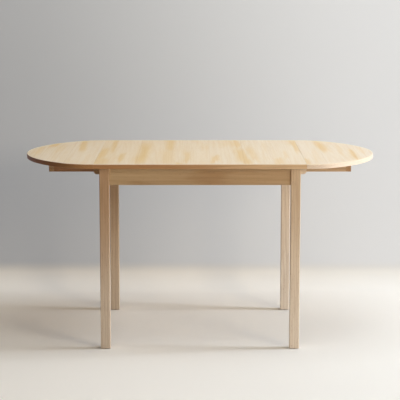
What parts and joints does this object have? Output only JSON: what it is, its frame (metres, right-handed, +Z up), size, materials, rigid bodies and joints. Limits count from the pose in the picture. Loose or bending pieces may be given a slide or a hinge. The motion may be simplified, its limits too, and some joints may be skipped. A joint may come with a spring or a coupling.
{
  "type": "drop-leaf kitchen table",
  "caption": "Rectangular kitchen table on an apron frame, with a rounded drop leaf hinged at each end and held level on wooden bearers.",
  "frame": {"origin": "on the floor under the middle of the table, with both leaves level", "axes": "+X along the table from the left leaf to the right leaf, +Y from front to back, +Z up"},
  "size_m": [1.4124, 0.8, 0.74],
  "materials": {
    "top_wood": "satin lacquer, pale laminated birch, staves running front to back",
    "lipping_wood": "satin lacquer, grain along the edge",
    "frame_wood": "satin lacquer, straight grain along each member",
    "support_wood": "planed, unlacquered",
    "hinge_steel": "zinc plated",
    "pin_steel": "plain",
    "glide_plastic": "matte"
  },
  "bodies": {
    "frame": {"top_panel": "top_wood", "top_lipping_front": "lipping_wood", "top_lipping_back": "lipping_wood", "leg_left_front": "frame_wood", "leg_left_back": "frame_wood", "leg_right_front": "frame_wood", "leg_right_back": "frame_wood", "apron_front": "frame_wood", "apron_back": "frame_wood", "apron_left": "frame_wood", "apron_right": "frame_wood", "corner_block_left_front": "support_wood", "corner_block_left_back": "support_wood", "corner_block_right_front": "support_wood", "corner_block_right_back": "support_wood", "leaf_stop_left_front": "support_wood", "leaf_stop_left_back": "support_wood", "leaf_stop_right_front": "support_wood", "leaf_stop_right_back": "support_wood", "button_left_front": "support_wood", "button_left_back": "support_wood", "button_right_front": "support_wood", "button_right_back": "support_wood", "button_left_end": "support_wood", "button_right_end": "support_wood", "glide_left_front": "glide_plastic", "glide_left_back": "glide_plastic", "glide_right_front": "glide_plastic", "glide_right_back": "glide_plastic", "hinge_frame_plate_left_front": "hinge_steel", "hinge_frame_plate_left_middle": "hinge_steel", "hinge_frame_plate_left_back": "hinge_steel", "hinge_pin_left_front": "pin_steel", "hinge_pin_left_middle": "pin_steel", "hinge_pin_left_back": "pin_steel", "hinge_frame_plate_right_front": "hinge_steel", "hinge_frame_plate_right_middle": "hinge_steel", "hinge_frame_plate_right_back": "hinge_steel", "hinge_pin_right_front": "pin_steel", "hinge_pin_right_middle": "pin_steel", "hinge_pin_right_back": "pin_steel"},
    "leaf_left": {"leaf_panel_left": "top_wood", "leaf_lipping_left": "lipping_wood", "cross_bar_left": "support_wood", "bearer_left_front": "support_wood", "bearer_left_back": "support_wood", "hinge_leaf_plate_left_front": "hinge_steel", "hinge_leaf_plate_left_middle": "hinge_steel", "hinge_leaf_plate_left_back": "hinge_steel"},
    "leaf_right": {"leaf_panel_right": "top_wood", "leaf_lipping_right": "lipping_wood", "cross_bar_right": "support_wood", "bearer_right_front": "support_wood", "bearer_right_back": "support_wood", "hinge_leaf_plate_right_front": "hinge_steel", "hinge_leaf_plate_right_middle": "hinge_steel", "hinge_leaf_plate_right_back": "hinge_steel"}
  },
  "joints": [
    {"name": "leaf_left_fold", "type": "hinge", "parent": "frame", "child": "leaf_left", "pos_m": [-0.411, 0, 0.7178], "axis": [0, -1, 0], "range_deg": [0, 90]},
    {"name": "leaf_right_fold", "type": "hinge", "parent": "frame", "child": "leaf_right", "pos_m": [0.411, 0, 0.7178], "axis": [0, 1, 0], "range_deg": [0, 90]}
  ]
}
